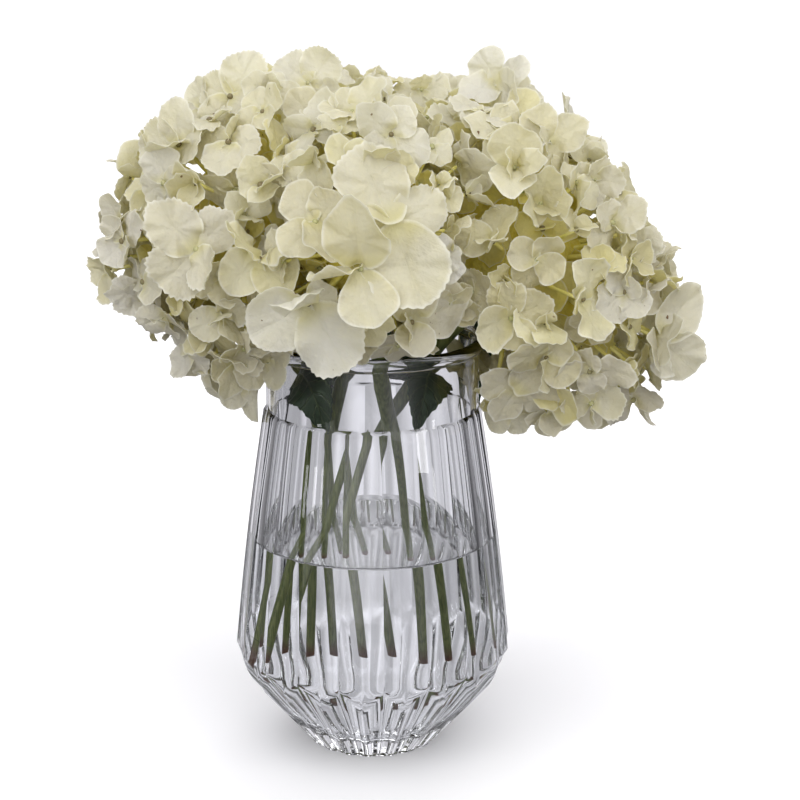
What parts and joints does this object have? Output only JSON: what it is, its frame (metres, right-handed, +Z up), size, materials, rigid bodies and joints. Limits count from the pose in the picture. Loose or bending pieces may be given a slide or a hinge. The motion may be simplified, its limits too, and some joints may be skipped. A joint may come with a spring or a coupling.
{
  "type": "hydrangeas in a vase",
  "caption": "Cream mophead hydrangea blooms with toothed leaves, their stems standing in water in a fluted clear glass vase.",
  "frame": {"origin": "middle of the vase's foot, on the surface that it stands on", "axes": "+Z up along the vase's axis, -Y the front that faces the viewer, +X to the viewer's right"},
  "size_m": [0.238, 0.175, 0.2781],
  "materials": {
    "vase_glass": "clear pressed glass, slightly grey-green, glossy and fire polished",
    "water": "still clear water",
    "stem_green": "fresh green stem, satin, with a faint grain along it",
    "leaf_green": "dark green leaf, satin, with raised veins",
    "petal_cream": "matt cream-white sepals, thin and slightly translucent, yellow-green towards their centres"
  },
  "bodies": {
    "root": {"vase": "vase_glass", "water": "water", "stem_left": "stem_green", "stem_right": "stem_green", "stem_front": "stem_green", "stem_back": "stem_green", "leaf_neck_left": "leaf_green", "leaf_neck_right": "leaf_green", "leaf_neck_back": "leaf_green", "leaf_outside_right": "leaf_green", "leaf_outside_back": "leaf_green", "head_left": "petal_cream", "head_right": "petal_cream", "head_front": "petal_cream", "head_back": "petal_cream"}
  },
  "joints": []
}
